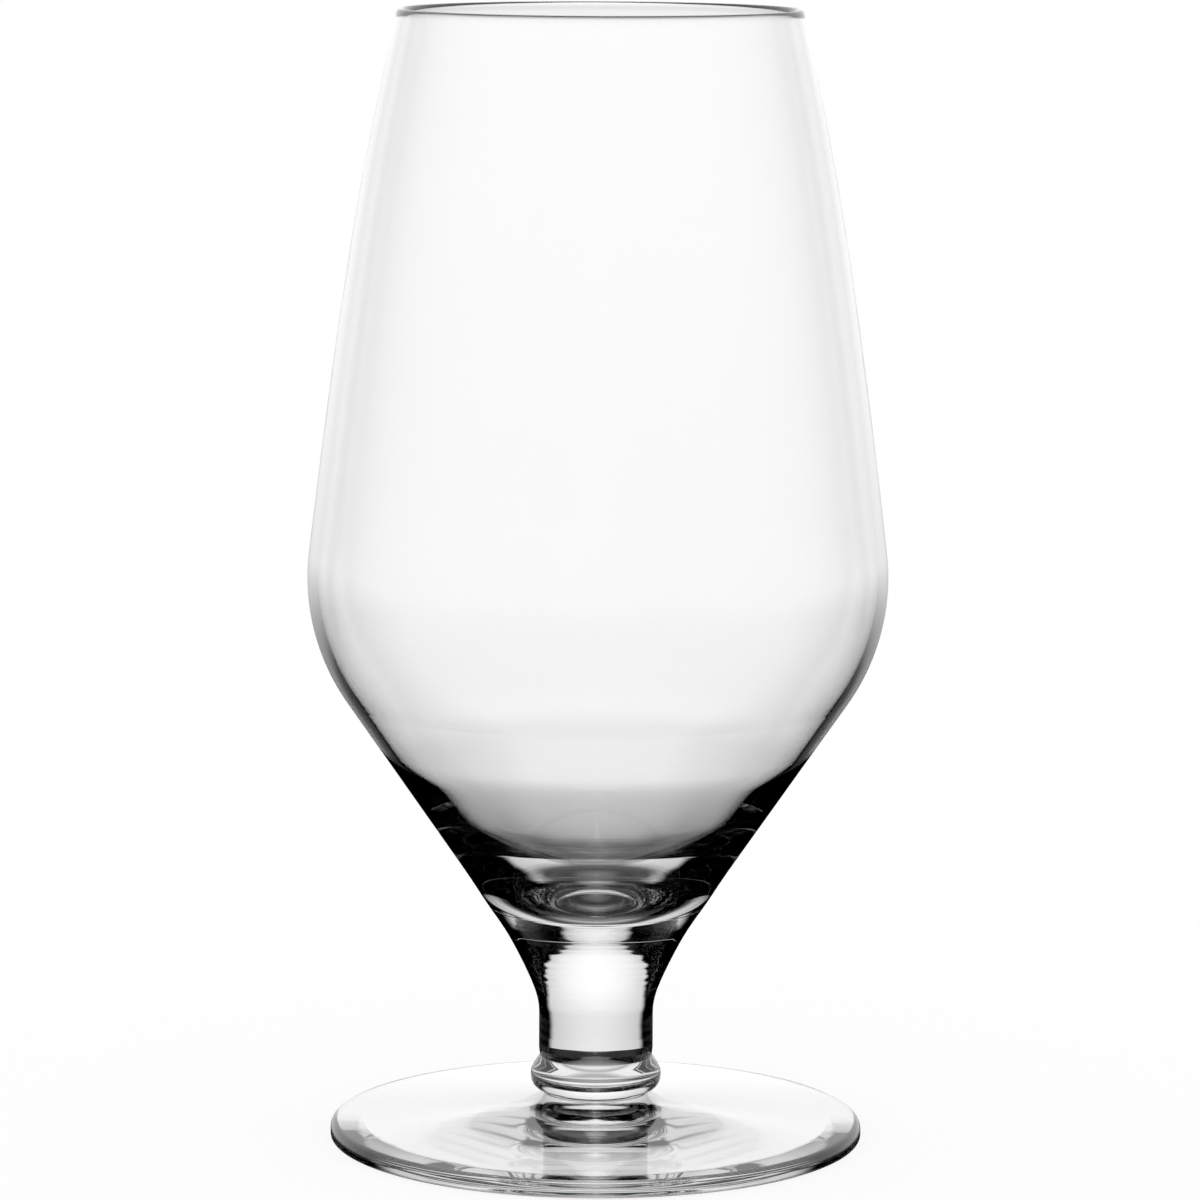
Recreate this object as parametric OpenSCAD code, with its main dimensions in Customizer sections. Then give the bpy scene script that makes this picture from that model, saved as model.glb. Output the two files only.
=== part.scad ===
// Stemmed pilsner glass: a blown bowl, a short drawn stem, a bead collar and a cast foot.
// Each piece is a solid of revolution about +Z, and each seats flat on the next, where the
// hot glass is welded. The origin is on the table, at the middle of the foot.

/* [Overall] */
// Height from the table to the top of the lip
glass_h = 165; // [150:1:180]

/* [Bowl] */
// Outside diameter at the lip
rim_d = 58.5; // [54:0.5:64]
// Inward lean of the wall at the lip, in degrees from the vertical
rim_lean = 11.5; // [9:0.5:15]
// Wall thickness at the lip
rim_wall = 1.2; // [0.8:0.1:2.2]
// Outside diameter at the shoulder, the widest ring
shoulder_d = 84.3; // [80:0.1:90]
// Height of the widest ring above the table
shoulder_z = 82.8; // [78:0.1:90]
// Radius that rounds the shoulder
shoulder_r = 31.6; // [24:0.1:36]
// Inward lean of the wall just above the shoulder, in degrees from the vertical
side_lean = 6.9; // [5:0.1:9]
// Wall thickness at the shoulder and down the cone
shoulder_wall = 1.5; // [1:0.1:2.5]
// Height above the table below which the wall thickens
knee_z = 56.8; // [54:0.1:59]
// Angle by which it thickens there, in degrees
wall_taper = 5.4; // [4.8:0.1:6]
// Radius of the wide round that turns the cavity in towards its floor
cavity_r = 57; // [52:0.5:62]
// Radius of the nose that ends the cavity on the axis
nose_r = 19.6; // [18:0.1:21.5]
// Thickness of the base at its middle, from the weld to the cavity's floor
base_t = 1.1; // [0.8:0.1:1.6]

/* [Stem] */
// Height of the weld between the bowl and the stem, above the table
seat_z = 34.5; // [33:0.1:36]
// Diameter of that weld
seat_d = 31.35; // [30:0.05:33]
// Diameter of the straight part of the stem
stem_d = 16.4; // [14:0.1:19]
// Lean of the flare that carries the bowl, in degrees from the vertical
flare_lean = 30.5; // [28:0.1:34]
// Radius of the neck, where the flare runs into the straight part
neck_r = 13.2; // [8:0.1:16]

/* [Collar] */
// Diameter of the collar at its bead
collar_d = 19.2; // [18:0.1:22]
// Height of the collar
collar_h = 5.7; // [5:0.1:7]

/* [Foot] */
// Diameter of the foot
foot_d = 78; // [70:0.5:86]
// Thickness of the foot at its edge
edge_t = 2.3; // [2:0.1:4]
// Height of the foot at its hub, where the collar seats
hub_h = 6.2; // [5.8:0.1:8]
// Height of the sweep that ends the foot's sloping top and carries the hub
hub_rise = 0.3; // [0.2:0.1:1.5]
// Diameter of the hub
hub_d = 13.4; // [12:0.1:15]
// Width of the ring that rests on the table, around the hollow underside
rest_w = 5.2; // [4:0.1:10]
// Depth of the hollow underside at its middle
hollow_h = 1.5; // [0.6:0.1:1.8]

/* [Hidden] */

// Rounding of each welded edge, which leaves a hairline around the joint
weld_r = 0.08;
// Radius that eases the bowl's inner wall round its knee
knee_r = 40;
// Length of the facets that a round stretch of an outline is drawn with
facet_l = 0.8;
// Fewest facets of a round stretch, and facets of a free curve
arc_steps_min = 5;
curve_steps = 48;
// Facets around the axis
$fn = 180;

// How far the lower and the upper end of the side hold their lean, as shares of its length
side_hold_share = 0.7;
rim_hold_share = 0.18;
// Largest rounding of the shoulder, as a share of its height above the weld
shoulder_round_share = 0.65;
// Rounding of the collar's bead, as a share of its height
bead_share = 0.44;
// Radius of the hollow sweep up to the hub, as a share of its height
sweep_share = 3;
// Rounding of the foot's lower and upper edge, as shares of its thickness
low_edge_share = 0.22;
top_edge_share = 0.5;

// Unit vectors of a wall that leans: along it upwards, and square to it outwards
function along(lean) = [-sin(lean), cos(lean)];
function outward(lean) = [cos(lean), sin(lean)];

lip_r = rim_wall / 2;
lip_centre = [rim_d / 2 - lip_r, glass_h - lip_r];
seat_r = seat_d / 2;
outer_round = min(shoulder_r, shoulder_round_share * (shoulder_z - seat_z));
inner_round = outer_round - shoulder_wall;
shoulder_centre = [shoulder_d / 2 - outer_round, shoulder_z];
// The outer cone runs from the edge of the weld and touches the shoulder's round
cone_lean = -touch_angle([seat_r, seat_z], shoulder_centre, outer_round, 1);
// The cavity's wall runs down beside the outer cone as far as the knee, and leans further in below it
cavity_lean = cone_lean + wall_taper;
wall_top = shoulder_centre + inner_round * outward(-cone_lean);
knee = wall_top - (wall_top.y - knee_z) / cos(cone_lean) * along(-cone_lean);
// The wide round touches that lower wall and the nose
nose_centre = [0, seat_z + base_t + nose_r];
reach = knee - cavity_r * outward(-cavity_lean) - nose_centre;
reach_up = reach * along(-cavity_lean);
wall_l = reach_up - sqrt(reach_up * reach_up - reach * reach + pow(cavity_r - nose_r, 2));
wall_end = knee - wall_l * along(-cavity_lean);
cavity_centre = wall_end - cavity_r * outward(-cavity_lean);
nose_lean = atan2(cavity_centre.y - nose_centre.y, nose_centre.x - cavity_centre.x);

stem_r = stem_d / 2;
collar_z = hub_h;
stem_z = collar_z + collar_h;
neck_z = seat_z - (seat_r - stem_r) / tan(flare_lean);
bead_r = collar_h * bead_share;
bead_centre = [collar_d / 2 - bead_r, collar_z + collar_h / 2];

foot_r = foot_d / 2;
hub_r = hub_d / 2;
slope_h = hub_h - hub_rise;
hollow_r = foot_r - rest_w;
hollow_ball_r = (hollow_r * hollow_r + hollow_h * hollow_h) / (2 * hollow_h);
hollow_angle = asin(hollow_r / hollow_ball_r);

glass = [0.93, 0.96, 0.97, 0.4];

// Points of an arc, by the angles of its two ends
function arc_points(centre, radius, start, end) =
    let (length = radius * abs(end - start) * PI / 180, steps = max(arc_steps_min, ceil(length / facet_l)))
    [for (i = [0:steps]) centre + radius * outward(start + (end - start) * i / steps)];

// Points of a free curve that leaves p along the line to q and reaches s along the line from r
function curve_points(p, q, r, s) =
    [for (i = [0:curve_steps])
        let (t = i / curve_steps, u = 1 - t)
        u * u * u * p + 3 * u * u * t * q + 3 * u * t * t * r + t * t * t * s];

// Points of a side that holds its lean at both ends
function side_points(low, high) =
    let (length = norm(high - low))
    curve_points(low, low + side_hold_share * length * along(side_lean),
                 high - rim_hold_share * length * along(rim_lean), high);

// Points of a round that replaces a corner between two straight lines
function corner_points(before, corner, after, radius) =
    let (
        u = (before - corner) / norm(before - corner),
        v = (after - corner) / norm(after - corner),
        half = acos(u * v) / 2,
        middle = (u + v) / norm(u + v),
        centre = corner + middle * radius / sin(half),
        first = corner + u * radius / tan(half) - centre,
        last = corner + v * radius / tan(half) - centre,
        start = atan2(first.y, first.x),
        turn = atan2(first.x * last.y - first.y * last.x, first * last)
    )
    arc_points(centre, radius, start, start + turn);

// Angle at which a line from a point below (side 1) or above (side -1) touches a round
function touch_angle(point, centre, radius, side) =
    let (reach = point - centre)
    atan2(reach.y, reach.x) + side * acos(radius / norm(reach));

function reversed(points) = [for (i = [len(points) - 1:-1:0]) points[i]];

// The blown bowl: outer cone, shoulder and side, round lip, then the cavity back down to its floor
module bowl() {
    seat_edge = [seat_r, seat_z];
    cone_top = shoulder_centre + outer_round * outward(-cone_lean);
    outer_side = side_points(shoulder_centre + outer_round * outward(side_lean),
                             lip_centre + lip_r * outward(rim_lean));
    inner_side = side_points(shoulder_centre + inner_round * outward(side_lean),
                             lip_centre - lip_r * outward(rim_lean));
    outline = concat(
        [[0, seat_z]],
        corner_points([0, seat_z], seat_edge, cone_top, weld_r),
        arc_points(shoulder_centre, outer_round, -cone_lean, side_lean),
        outer_side,
        arc_points(lip_centre, lip_r, rim_lean, rim_lean + 180),
        reversed(inner_side),
        arc_points(shoulder_centre, inner_round, side_lean, -cone_lean),
        corner_points(wall_top, knee, wall_end, knee_r),
        arc_points(cavity_centre, cavity_r, -cavity_lean, -nose_lean),
        arc_points(nose_centre, nose_r, -nose_lean, -90)
    );
    color(glass) rotate_extrude() polygon(outline);
}

// The drawn stem: a straight rod that flares out under the bowl
module stem() {
    rod_end = [stem_r, stem_z];
    neck = [stem_r, neck_z];
    flare_end = [seat_r, seat_z];
    outline = concat(
        [[0, stem_z]],
        corner_points([0, stem_z], rod_end, neck, weld_r),
        corner_points(rod_end, neck, flare_end, neck_r),
        corner_points(neck, flare_end, [0, seat_z], weld_r),
        [[0, seat_z]]
    );
    color(glass) rotate_extrude() polygon(outline);
}

// The collar: a bead of glass between the stem and the foot
module collar() {
    low_edge = [hub_r, collar_z];
    high_edge = [stem_r, stem_z];
    low_angle = touch_angle(low_edge, bead_centre, bead_r, 1);
    high_angle = touch_angle(high_edge, bead_centre, bead_r, -1);
    bead_low = bead_centre + bead_r * outward(low_angle);
    bead_high = bead_centre + bead_r * outward(high_angle);
    outline = concat(
        [[0, collar_z]],
        corner_points([0, collar_z], low_edge, bead_low, weld_r),
        arc_points(bead_centre, bead_r, low_angle, high_angle),
        corner_points(bead_high, high_edge, [0, stem_z], weld_r),
        [[0, stem_z]]
    );
    color(glass) rotate_extrude() polygon(outline);
}

// The cast foot: a sloping disc with a hub, a round edge and a hollow underside
module foot() {
    low_edge = [foot_r, 0];
    high_edge = [foot_r, edge_t];
    hub_root = [hub_r + hub_rise, slope_h];
    hub_edge = [hub_r, hub_h];
    outline = concat(
        reversed(arc_points([0, hollow_h - hollow_ball_r], hollow_ball_r, 90 - hollow_angle, 90)),
        corner_points([hollow_r, 0], low_edge, high_edge, edge_t * low_edge_share),
        corner_points(low_edge, high_edge, hub_root, edge_t * top_edge_share),
        corner_points(high_edge, hub_root, hub_edge, hub_rise * sweep_share),
        corner_points(hub_root, hub_edge, [0, hub_h], weld_r),
        [[0, hub_h]]
    );
    color(glass) rotate_extrude() polygon(outline);
}

bowl();
stem();
collar();
foot();
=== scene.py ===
# Looks of a stemmed pilsner glass in clear glass. Each solid of the frame is a coarse surface of
# revolution. Here its outline is read back, smoothed and turned again as a fine mesh, because every
# facet shows in refraction. The glass stands in a bright field: a white backdrop behind it, dark sides.
import math

import bpy
import numpy as np
from mathutils import Matrix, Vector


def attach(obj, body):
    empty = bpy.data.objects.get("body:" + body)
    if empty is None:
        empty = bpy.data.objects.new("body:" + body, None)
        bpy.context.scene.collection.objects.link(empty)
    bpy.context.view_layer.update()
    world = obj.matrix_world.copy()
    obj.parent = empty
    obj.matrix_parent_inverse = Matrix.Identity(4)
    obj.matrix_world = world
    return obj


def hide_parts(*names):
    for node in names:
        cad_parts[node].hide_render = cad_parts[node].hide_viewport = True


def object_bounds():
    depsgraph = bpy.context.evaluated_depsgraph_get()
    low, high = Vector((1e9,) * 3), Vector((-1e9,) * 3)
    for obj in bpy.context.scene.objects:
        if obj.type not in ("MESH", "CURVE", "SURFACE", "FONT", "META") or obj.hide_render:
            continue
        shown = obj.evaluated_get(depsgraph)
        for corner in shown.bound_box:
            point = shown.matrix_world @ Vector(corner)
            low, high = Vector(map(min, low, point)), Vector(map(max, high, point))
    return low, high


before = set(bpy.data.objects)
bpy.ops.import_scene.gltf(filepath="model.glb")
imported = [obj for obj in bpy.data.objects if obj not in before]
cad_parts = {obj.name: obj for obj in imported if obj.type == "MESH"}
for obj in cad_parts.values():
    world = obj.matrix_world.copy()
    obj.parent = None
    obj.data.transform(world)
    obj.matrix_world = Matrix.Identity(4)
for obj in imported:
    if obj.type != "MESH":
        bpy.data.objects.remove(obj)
cad_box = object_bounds()

# Camera, in metres and degrees
PICTURE_PX = 1200
FOCAL_PX = 5537.7
SENSOR_MM = 36
CAMERA_DISTANCE = 0.7969
CAMERA_HEIGHT = 0.1941
CAMERA_PITCH = 8.19
CAMERA_ROLL = 0.255
CAMERA_YAW = 0.023

# Meshes, in metres: facets around the axis, and the longest step along an outline and along the stem
AROUND = 256
OUTLINE_STEP = 0.0012
STEM_STEP = 0.00015
# A straight run longer than this has points close to both ends, which keep its shading true up to them
RUN_LENGTH = 0.0025
END_POINTS = (0.00004, 0.00012, 0.0004)
# Points closer than this are one point
SAME_POINT = 1e-6
# Longest round of a welded edge, which the hot glass fills
WELD_LINE = 0.00018

# The drawn stem's lean from the vertical in degrees, by height in metres. It turns into the flare more
# slowly than its plain outline. Its own lean fades in over these lengths from the lower and upper end.
STEM_LEANS = ((0.0182, 0), (0.0195, 7), (0.0205, 13), (0.0218, 19.5), (0.023, 22.6), (0.0243, 24.4),
              (0.0263, 26), (0.0283, 27.4), (0.03, 28.8), (0.0315, 31), (0.033, 33), (0.0345, 34.3))
STEM_EASE = (0.0012, 0.0003)
# Tool rings on the drawn stem, in metres: two waves that beat, and fade out over this length at the ends
RIPPLE_DEPTH = 0.0000025
RIPPLE_PITCHES = (0.0013, 0.0021)
RIPPLE_EASE = 0.002
# The hot welds at the bowl and at the foot run out a little past the plain outline. For each its place
# in (r, z), its shift and how far that reaches, in metres.
WELD_RUNS = (((0.0157, 0.0345), (0.0002, 0.0), 0.004),
             ((0.0067, 0.0062), (0.0004, 0.0006), 0.0016))

# Glass. Hand-worked glass is never quite even: its tint, polish and surface wander a little, with noise
# of these scales. The middle range of the noise spans each pair of values.
GLASS_IOR = 1.52
NOISE_RANGE = (0.3, 0.7)
TINT_SCALE = 25
TINT_LEVELS = (0.996, 1.0)
POLISH_SCALE = 90
POLISH_ROUGHNESS = (0.0, 0.005)
WAVE_SCALE = 140
WAVE_DEPTH = 0.000004

# Floor, in metres, and the share of its white that comes from light falling on it, which shadows take
FLOOR_HALF = 9.0
FLOOR_DROP = 0.0001
FLOOR_DIFFUSE = 0.15

# Studio, in degrees. A white panel stands behind the glass and a white sheet runs under it. Light that
# the glass bends a little comes from there. What lies beside them is dark.
# How bright they are, by the angle above the table at which the glass sees them: through solid glass,
# through the two walls of the bowl, and mirrored inside the glass
SOLID_LEVELS = ((-90, 1.2), (-40, 1.2), (-24, 0.9), (-14, 0.84), (-8, 0.86), (-2, 0.97), (8, 1.0),
                (20, 1.1), (45, 1.1), (60, 0.9), (90, 0.9))
HOLLOW_LEVELS = ((-90, 0.0), (-55, 0.03), (-42, 0.12), (-37, 0.22), (-32, 0.44), (-28, 0.58), (-24, 0.65),
                 (-20, 0.71), (-16, 0.86), (-12, 1.0), (-8, 1.07), (0, 1.12))
INNER_LEVELS = ((-90, 0.4), (-60, 0.0), (-48, 0.15), (-38, 0.5), (-30, 0.2), (-24, 0.05), (-18, 0.1),
                (-12, 0.6), (-6, 0.85), (8, 0.94), (16, 0.8), (26, 0.4), (38, 0.75), (52, 1.0), (90, 1.2))
LEVEL_MOST = 1.25
# How far they reach to each side, by the same angle
HALVES = ((-90, 14), (-26, 14), (-18, 40), (0, 44), (28, 42), (40, 22), (60, 14), (90, 14))
HALF_MOST = 90
EDGE_SOFT = 10
# Share of their light that is lost towards the edges
EDGE_LOSS = 0.25
# The dark sides end here; light that the solid stem bends further than this comes from the front again
SIDE_END = (95, 110)
# The lower part of the backdrop is dim only behind the glass
DIM_END = (55, 95)
# The sheet in front of the glass, and the pale room that the outside of the glass mirrors
FRONT_FROM = (85, 110)
FRONT_BELOW = (-40, -60)
FRONT_LEVEL = 0.6
ROOM_ABOVE = (-14, -1)
ROOM_LEVEL = 1.2
ROOM_FLOOR_FROM = (75, 105)
ROOM_FLOOR = 0.6
# The lowest angle above the table, and all that lies between it and the highest
NADIR = -90
HEIGHT_SPAN = 180

# Counts of bounces: the most there are, a count under which there was none, and the count of crossed
# surfaces under which light came through one body of glass
BOUNCES = 32
NONE_YET = 0.5
ONE_BODY = 2.5


def meridian(node):
    """The node's outline in the half plane y = 0, x >= 0, as ordered (r, z) points from end to end."""
    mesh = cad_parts[node].data
    co = np.array([v.co for v in mesh.vertices])
    on_seam = (np.abs(co[:, 1]) < SAME_POINT) & (co[:, 0] > -SAME_POINT)
    place = {}
    name_of = {}
    for i in np.flatnonzero(on_seam):
        key = tuple(np.round(co[i, [0, 2]] / SAME_POINT).astype(int))
        name_of[int(i)] = key
        place[key] = (max(co[i, 0], 0.0), co[i, 2])
    near = {key: set() for key in place}
    for edge in mesh.edges:
        a, b = (name_of.get(i) for i in edge.vertices)
        if a and b and a != b:
            near[a].add(b)
            near[b].add(a)
    start = min((k for k in near if len(near[k]) == 1), key=lambda k: (k[1], k[0]))
    chain = [start]
    while True:
        ahead = [k for k in near[chain[-1]] if k not in chain]
        if not ahead:
            break
        chain.append(ahead[0])
    return np.array([place[k] for k in chain])


def filled(points):
    """The outline with the hairline round each weld filled: its straight stretch runs on to the weld."""
    for _ in range(2):
        # Each pass turns the outline round, so that the first fills its end and the second its start
        points = points[::-1]
        if points[0, 0] > SAME_POINT:
            run = np.cumsum(np.linalg.norm(np.diff(points, axis=0), axis=1))
            last = int(np.flatnonzero(run < WELD_LINE)[-1]) + 1
            here, ahead = points[last], points[last + 1]
            corner = here + (here - ahead) * (points[0, 1] - here[1]) / (here[1] - ahead[1])
            points = np.vstack([corner, points[last:]])
    return points


def smoothed(points, step):
    """A smooth curve through the points, which keeps long straight stretches straight."""
    chord = points[2:] - points[:-2]
    tangent = np.vstack([points[1] - points[0], chord, points[-1] - points[-2]])
    tangent /= np.linalg.norm(tangent, axis=1)[:, None]
    out = []
    for a, b, u, v in zip(points[:-1], points[1:], tangent[:-1], tangent[1:]):
        length = np.linalg.norm(b - a)
        parts = max(1, math.ceil(length / step))
        stops = np.arange(parts) / parts
        if parts > 1 and length > RUN_LENGTH:
            near = np.array(END_POINTS) / length
            stops = np.sort(np.concatenate([stops, near, 1 - near]))
        for t in stops:
            s = 1 - t
            out.append((1 + 2 * t) * s * s * a + t * s * s * length * u
                       + t * t * (3 - 2 * t) * b - t * t * s * length * v)
    out.append(points[-1])
    out = np.array(out)
    out[:, 0] = np.maximum(out[:, 0], 0)
    return out


def drawn(outline):
    """The stem's outline with its own lean and fine tool rings, which fade out towards both ends."""
    step = np.linalg.norm(np.diff(outline, axis=0), axis=1)
    run = np.concatenate([[0], np.cumsum(step)])
    left = run[-1] - run

    # Tool rings, square to the outline
    along = np.gradient(outline, axis=0)
    along /= np.linalg.norm(along, axis=1)[:, None]
    out = np.stack([along[:, 1], -along[:, 0]], axis=1)
    ease = np.clip(np.minimum(run, left) / RIPPLE_EASE, 0, 1)
    wave = RIPPLE_DEPTH * ease * sum(np.sin(2 * math.pi * run / pitch) for pitch in RIPPLE_PITCHES)

    # The radius that the leans give, from the weld at the bowl downwards
    heights, leans = zip(*STEM_LEANS)
    slope = np.tan(np.radians(np.interp(outline[:, 1], heights, leans)))
    widens = (slope[1:] + slope[:-1]) / 2 * np.diff(outline[:, 1])
    radius = outline[-1, 0] - np.concatenate([np.cumsum(widens[::-1])[::-1], [0]])
    low, high = STEM_EASE
    swell = (radius - outline[:, 0]) * np.clip(np.minimum(run / low, left / high), 0, 1)
    return outline + out * wave[:, None] + np.stack([swell, np.zeros_like(swell)], axis=1)


def welded(outline):
    """The outline where it runs out at the welds."""
    moved = outline.copy()
    for place, shift, reach in WELD_RUNS:
        share = np.exp(-np.sum((outline - place) ** 2, axis=1) / reach ** 2)
        moved += share[:, None] * shift
    return moved


def turned(name, outline):
    """A closed mesh of revolution. An end that isn't on the axis is closed by a flat weld face."""
    angle = np.linspace(0, 2 * math.pi, AROUND, endpoint=False)
    ring = np.stack([np.cos(angle), np.sin(angle)], axis=1)
    verts = []
    rows = []
    for r, z in outline:
        if r < SAME_POINT:
            rows.append([len(verts)] * AROUND)
            verts.append((0.0, 0.0, z))
        else:
            rows.append(list(range(len(verts), len(verts) + AROUND)))
            verts += [(r * x, r * y, z) for x, y in ring]
    faces = []
    welds = []
    for low, high in zip(rows[:-1], rows[1:]):
        for i in range(AROUND):
            j = (i + 1) % AROUND
            face = list(dict.fromkeys((low[i], low[j], high[j], high[i])))
            faces.append(face)
    for row, (r, z), turn in ((rows[0], outline[0], 1), (rows[-1], outline[-1], -1)):
        if r > SAME_POINT:
            middle = len(verts)
            verts.append((0.0, 0.0, z))
            welds += [(middle, row[(i + 1) % AROUND], row[i])[::turn] for i in range(AROUND)]
    mesh = bpy.data.meshes.new(name)
    mesh.from_pydata(verts, [], faces + welds)
    mesh.polygons.foreach_set("use_smooth", [True] * len(faces) + [False] * len(welds))
    mesh.polygons.foreach_set("material_index", [0] * len(faces) + [1] * len(welds))
    mesh.update()
    return added(name, mesh)


def added(name, data):
    """A new object with this data, in the scene."""
    thing = bpy.data.objects.new(name, data)
    bpy.context.collection.objects.link(thing)
    return thing


def new_tree(owner):
    """The emptied node tree of a material or a world."""
    owner.use_nodes = True
    owner.node_tree.nodes.clear()
    return owner.node_tree


def new_material(name):
    """A material, its node tree and the socket that takes its surface."""
    material = bpy.data.materials.new(name)
    tree = new_tree(material)
    out = tree.nodes.new("ShaderNodeOutputMaterial")
    return material, tree, out.inputs["Surface"]


def feed(tree, sockets, values):
    """Gives each socket its value, which is a number or another node's result."""
    for socket, value in zip(sockets, values):
        if isinstance(value, (int, float)):
            socket.default_value = value
        else:
            tree.links.new(value, socket)


def calc(tree, operation, *values):
    """The result of a Math node."""
    node = tree.nodes.new("ShaderNodeMath")
    node.operation = operation
    feed(tree, node.inputs, values)
    return node.outputs[0]


def mixed(tree, share, first, second):
    """First where share is 0, second where it is 1."""
    node = tree.nodes.new("ShaderNodeMix")
    feed(tree, node.inputs[:1] + node.inputs[2:4], (share, first, second))
    return node.outputs[0]


def ramp(tree, value, low, high, at_low=0.0, at_high=1.0):
    """A smooth step of value, from at_low at low to at_high at high."""
    node = tree.nodes.new("ShaderNodeMapRange")
    node.interpolation_type = "SMOOTHSTEP"
    tree.links.new(value, node.inputs["Value"])
    for name, number in (("From Min", low), ("From Max", high), ("To Min", at_low), ("To Max", at_high)):
        node.inputs[name].default_value = number
    return node.outputs["Result"]


def by_height(tree, height, stops, most):
    """A value, no larger than most, that runs straight from stop to stop over the angle above the table."""
    node = tree.nodes.new("ShaderNodeValToRGB")
    elements = node.color_ramp.elements
    elements.remove(elements[1])
    for i, (angle, value) in enumerate(stops):
        place = (angle - NADIR) / HEIGHT_SPAN
        stop = elements.new(place) if i else elements[0]
        stop.position = place
        stop.color = (value / most,) * 3 + (1,)
    above = calc(tree, "SUBTRACT", height, NADIR)
    tree.links.new(calc(tree, "DIVIDE", above, HEIGHT_SPAN), node.inputs[0])
    return calc(tree, "MULTIPLY", node.outputs["Color"], most)


def noise(tree, coord, scale):
    """Noise of this scale over the piece's own coordinates."""
    node = tree.nodes.new("ShaderNodeTexNoise")
    node.inputs["Scale"].default_value = scale
    tree.links.new(coord, node.inputs["Vector"])
    return node.outputs["Fac"]


def clear_glass():
    """Clear polished glass, with a slightly uneven tint, polish and surface."""
    material, tree, surface = new_material("clear_glass")
    glass = tree.nodes.new("ShaderNodeBsdfPrincipled")
    glass.inputs["Transmission Weight"].default_value = 1
    glass.inputs["IOR"].default_value = GLASS_IOR
    coord = tree.nodes.new("ShaderNodeTexCoord").outputs["Object"]
    tint = ramp(tree, noise(tree, coord, TINT_SCALE), *NOISE_RANGE, *TINT_LEVELS)
    tree.links.new(tint, glass.inputs["Base Color"])
    polish = ramp(tree, noise(tree, coord, POLISH_SCALE), *NOISE_RANGE, *POLISH_ROUGHNESS)
    tree.links.new(polish, glass.inputs["Roughness"])
    bump = tree.nodes.new("ShaderNodeBump")
    bump.inputs["Distance"].default_value = WAVE_DEPTH
    tree.links.new(noise(tree, coord, WAVE_SCALE), bump.inputs["Height"])
    tree.links.new(bump.outputs[0], glass.inputs["Normal"])
    tree.links.new(glass.outputs[0], surface)
    return material


def welded_glass():
    """The inside of a weld, where the glass runs on with no surface."""
    material, tree, surface = new_material("welded_glass")
    clear = tree.nodes.new("ShaderNodeBsdfTransparent")
    tree.links.new(clear.outputs[0], surface)
    return material


def studio_camera():
    """The camera in front of the glass, looking along +Y and a little down."""
    data = bpy.data.cameras.new("camera")
    data.sensor_width = SENSOR_MM
    data.lens = FOCAL_PX / PICTURE_PX * SENSOR_MM
    camera = added("camera", data)
    place = Matrix.Translation((0, -CAMERA_DISTANCE, CAMERA_HEIGHT))
    yaw = Matrix.Rotation(-math.radians(CAMERA_YAW), 4, "Z")
    # A camera that isn't turned looks straight down, so a quarter turn makes it level
    pitch = Matrix.Rotation(math.radians(90 - CAMERA_PITCH), 4, "X")
    roll = Matrix.Rotation(math.radians(CAMERA_ROLL), 4, "Z")
    camera.matrix_world = place @ yaw @ pitch @ roll
    bpy.context.scene.camera = camera


def directions(tree):
    """The angle of a ray from straight behind the glass, to either side, and its angle above the table."""
    coord = tree.nodes.new("ShaderNodeTexCoord")
    axes = tree.nodes.new("ShaderNodeSeparateXYZ")
    tree.links.new(coord.outputs["Generated"], axes.inputs[0])
    x, y, z = axes.outputs
    around = calc(tree, "DEGREES", calc(tree, "ABSOLUTE", calc(tree, "ARCTAN2", x, y)))
    height = calc(tree, "DEGREES", calc(tree, "ARCSINE", z))
    return around, height


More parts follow.
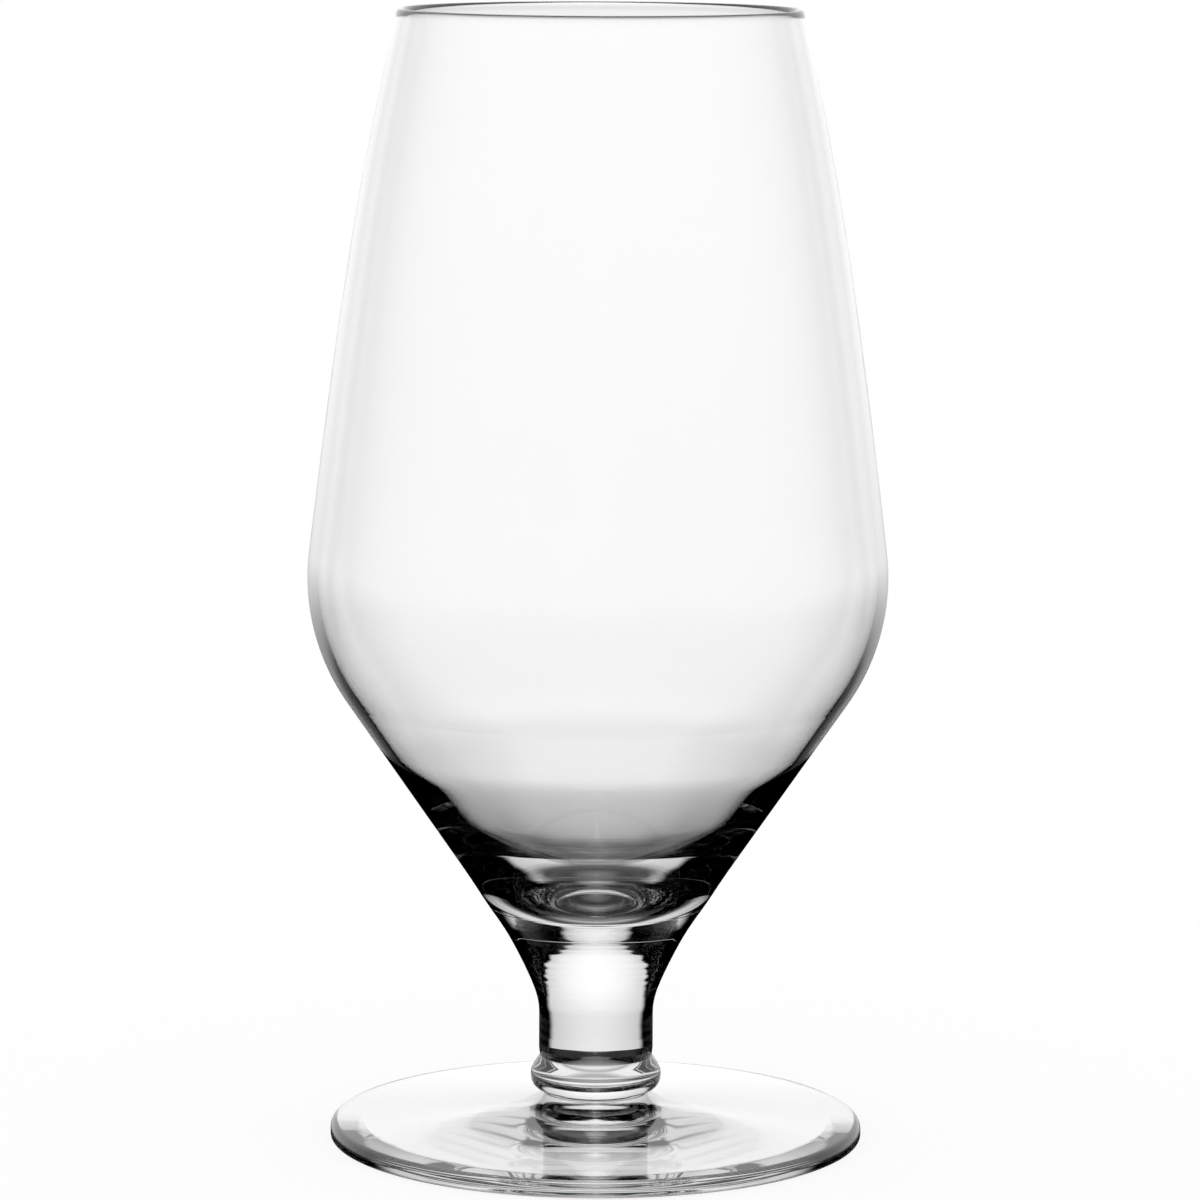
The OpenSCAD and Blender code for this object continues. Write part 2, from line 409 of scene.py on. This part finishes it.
def studio_world():
    """The light all round, as each kind of ray sees it. The background itself is white."""
    world = bpy.data.worlds.new("studio")
    world.cycles.sampling_method = "NONE"
    bpy.context.scene.world = world
    tree = new_tree(world)
    out = tree.nodes.new("ShaderNodeOutputWorld")
    back = tree.nodes.new("ShaderNodeBackground")
    back.inputs["Color"].default_value = (1, 1, 1, 1)
    around, height = directions(tree)

    in_solid, in_hollow, in_wall = (by_height(tree, height, stops, LEVEL_MOST)
                                    for stops in (SOLID_LEVELS, HOLLOW_LEVELS, INNER_LEVELS))
    in_hollow = mixed(tree, ramp(tree, around, *DIM_END), in_hollow, 1.0)
    half = by_height(tree, height, HALVES, HALF_MOST)

    # Where the panel and the sheet are, with a soft edge that is centred on their reach
    inside = calc(tree, "DIVIDE", calc(tree, "SUBTRACT", half, around), EDGE_SOFT)
    inside = ramp(tree, inside, -0.5, 0.5)
    loss = ramp(tree, calc(tree, "DIVIDE", around, half), 0, 1, 1, 1 - EDGE_LOSS)
    place = calc(tree, "MULTIPLY", inside, loss)
    front = calc(tree, "MULTIPLY", ramp(tree, around, *FRONT_FROM), ramp(tree, height, *FRONT_BELOW))
    front = calc(tree, "MULTIPLY", front, FRONT_LEVEL)
    mirrored = calc(tree, "MAXIMUM", calc(tree, "MULTIPLY", place, in_wall), front)
    room_floor = ramp(tree, around, *ROOM_FLOOR_FROM, 0, ROOM_FLOOR)
    outside = mixed(tree, ramp(tree, height, *ROOM_ABOVE), room_floor, ROOM_LEVEL)

    # Light bent by solid glass finds the dark sides, and light through two thin walls hardly bends
    path = tree.nodes.new("ShaderNodeLightPath")
    through = path.outputs["Transmission Depth"]
    glossy = path.outputs["Glossy Depth"]
    solid = calc(tree, "LESS_THAN", through, ONE_BODY)
    stem = mixed(tree, ramp(tree, around, *SIDE_END), place, 1.0)
    bent = mixed(tree, solid, in_hollow, calc(tree, "MULTIPLY", stem, in_solid))

    # The outside of the glass mirrors the room, and its inside only the panel and the sheet
    mirrored = mixed(tree, calc(tree, "LESS_THAN", through, NONE_YET), mirrored, outside)
    seen = mixed(tree, calc(tree, "GREATER_THAN", glossy, NONE_YET), bent, mirrored)
    plain = calc(tree, "LESS_THAN", calc(tree, "ADD", glossy, through), NONE_YET)
    tree.links.new(mixed(tree, plain, seen, 1.0), back.inputs["Strength"])
    tree.links.new(back.outputs[0], out.inputs["Surface"])


def studio_floor():
    """A white floor that takes the shadow of the glass. In the glass the studio shows in its place."""
    half = FLOOR_HALF
    mesh = bpy.data.meshes.new("floor")
    corners = [(-half, -half), (half, -half), (half, half), (-half, half)]
    mesh.from_pydata([(x, y, cad_box[0][2] - FLOOR_DROP) for x, y in corners], [], [(0, 1, 2, 3)])
    material, tree, surface = new_material("pale_floor")
    diffuse = tree.nodes.new("ShaderNodeBsdfDiffuse")
    diffuse.inputs["Color"].default_value = (FLOOR_DIFFUSE,) * 3 + (1,)
    glow = tree.nodes.new("ShaderNodeEmission")
    glow.inputs["Strength"].default_value = 1 - FLOOR_DIFFUSE
    both = tree.nodes.new("ShaderNodeAddShader")
    tree.links.new(diffuse.outputs[0], both.inputs[0])
    tree.links.new(glow.outputs[0], both.inputs[1])
    tree.links.new(both.outputs[0], surface)
    mesh.materials.append(material)
    floor = added("floor", mesh)
    floor.visible_transmission = False
    floor.visible_glossy = False


studio_camera()
glass = clear_glass()
weld = welded_glass()
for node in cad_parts:
    outline = smoothed(filled(meridian(node)), STEM_STEP if node == "stem" else OUTLINE_STEP)
    piece = turned("glass_" + node, welded(drawn(outline) if node == "stem" else outline))
    piece.data.materials.append(glass)
    piece.data.materials.append(weld)
    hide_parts(node)
    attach(piece, "root")
studio_world()
studio_floor()

scene = bpy.context.scene
scene.view_settings.view_transform = "Standard"
scene.cycles.max_bounces = BOUNCES
scene.cycles.transmission_bounces = BOUNCES
scene.cycles.glossy_bounces = BOUNCES
scene.cycles.transparent_max_bounces = BOUNCES
